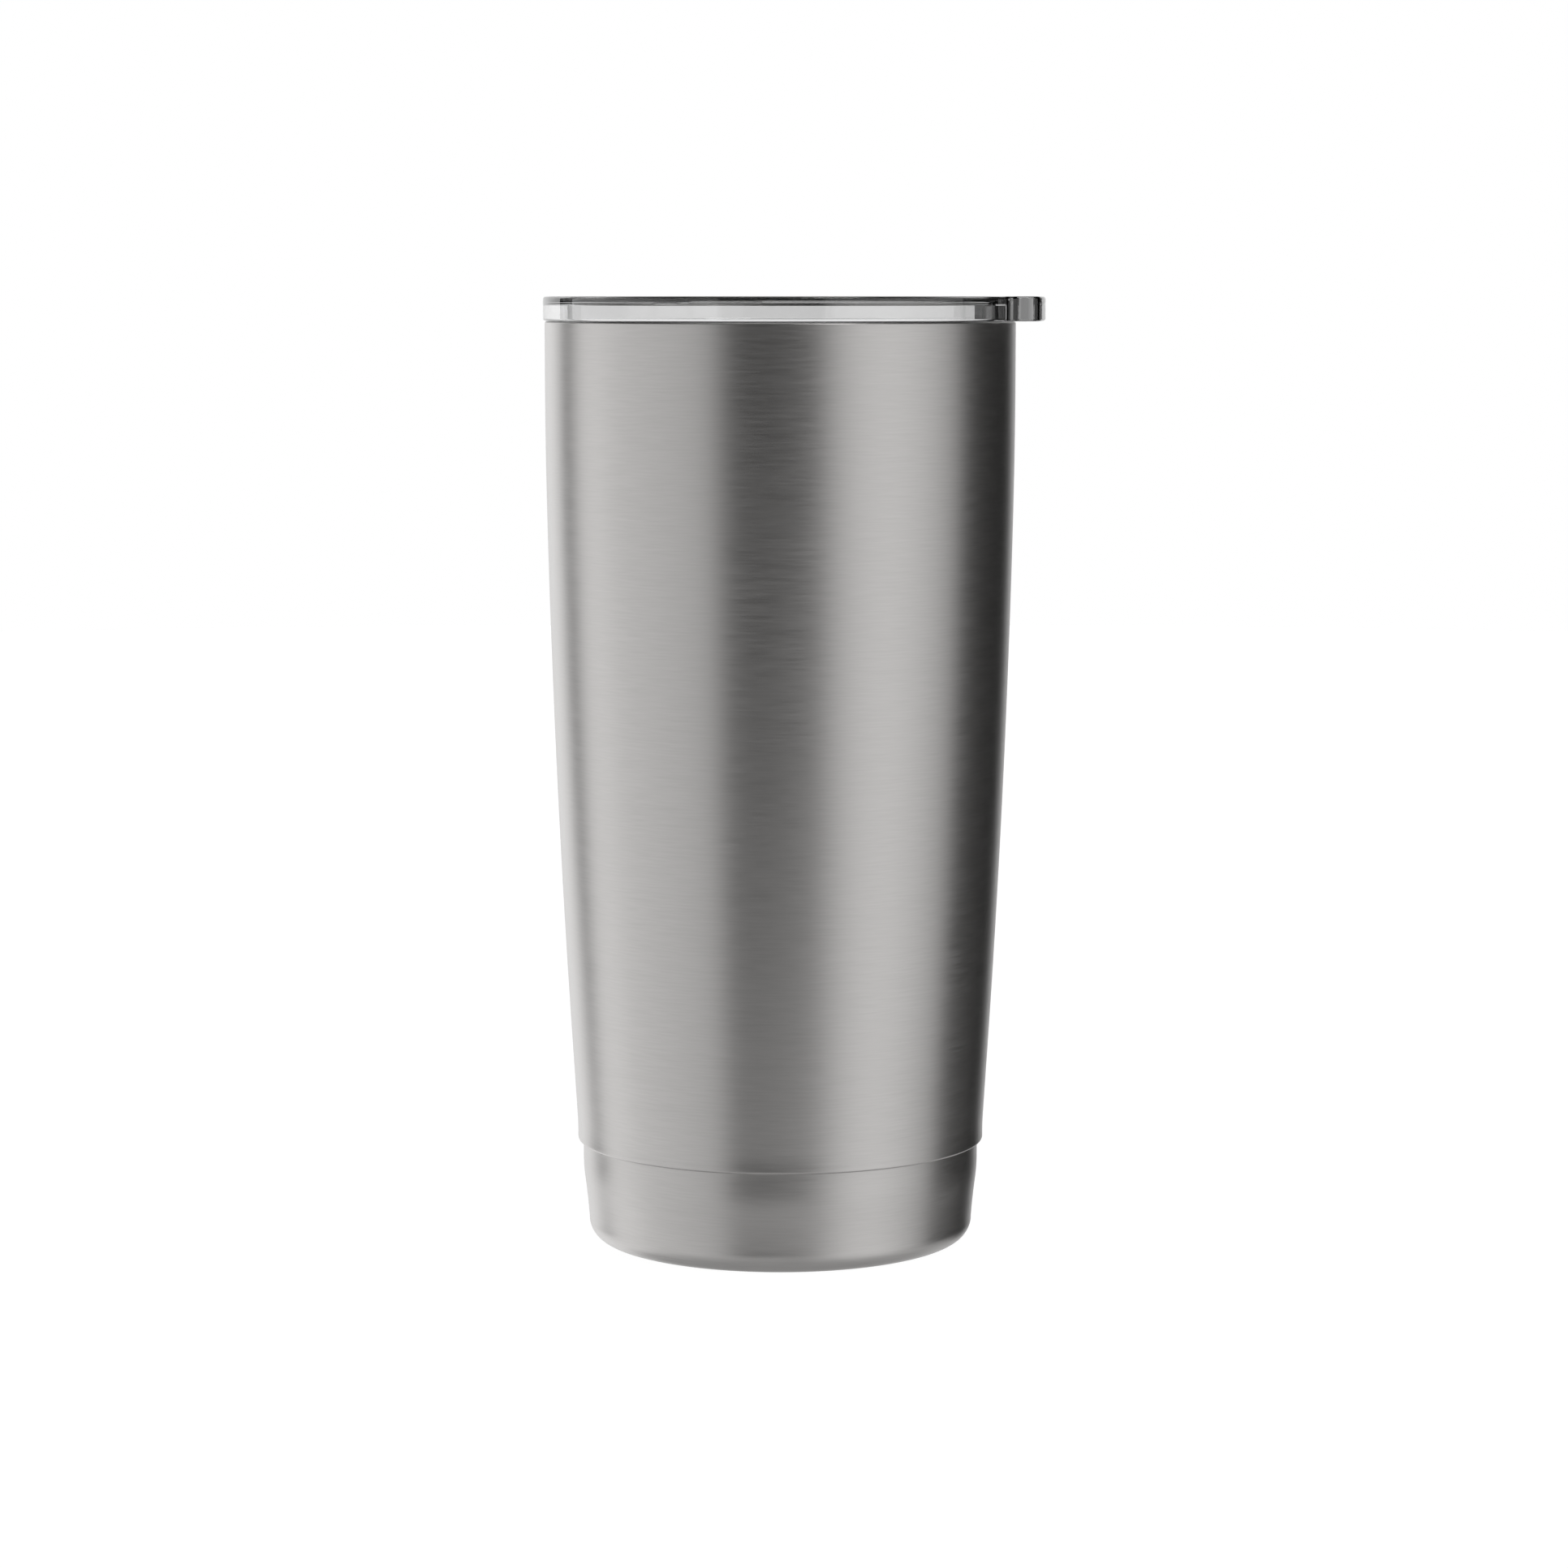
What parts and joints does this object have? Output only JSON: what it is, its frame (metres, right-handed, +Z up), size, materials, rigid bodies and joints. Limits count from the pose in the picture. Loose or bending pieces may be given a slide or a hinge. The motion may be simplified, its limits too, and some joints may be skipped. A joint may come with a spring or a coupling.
{
  "type": "insulated tumbler with lid",
  "caption": "Double-wall vacuum-insulated steel tumbler with tapered body, stepped base and clear push-fit lid with sliding cover.",
  "frame": {"origin": "centre of the base, on the surface the tumbler stands on", "axes": "+Z up along the tumbler's axis, +X towards the lid's lift tab, so the drinking opening is on the -X side"},
  "size_m": [0.0934, 0.0882, 0.1776],
  "materials": {
    "brushed_shell": "satin, fine brushing round the body",
    "brushed_base": "satin, fine brushing round the body",
    "liner_steel": "electropolished, soft satin",
    "inner_steel": "plain mill finish, hidden",
    "sealing_glass": "dark solder glass, hidden",
    "getter_powder": "matt pressed powder, hidden",
    "copper": "bright foil, hidden",
    "clear_plastic": "clear, polished",
    "slider_plastic": "clear, polished",
    "silicone": "milky translucent silicone"
  },
  "bodies": {
    "tumbler": {"outer_shell": "brushed_shell", "base_cup": "brushed_base", "inner_liner": "liner_steel", "liner_floor": "liner_steel", "vacuum_bottom": "inner_steel", "vacuum_seal": "sealing_glass", "getter": "getter_powder", "getter_strap": "inner_steel", "copper_foil": "copper"},
    "lid": {"lid_body": "clear_plastic", "lid_gasket": "silicone"},
    "slider": {"slider": "slider_plastic", "slider_seal": "silicone"}
  },
  "joints": [
    {"name": "lid_lift", "type": "slide", "parent": "tumbler", "child": "lid", "axis": [0, 0, 1], "range_m": [0, 0.08]},
    {"name": "slider_slide", "type": "slide", "parent": "lid", "child": "slider", "axis": [1, 0, 0], "range_m": [0, 0.012]}
  ]
}
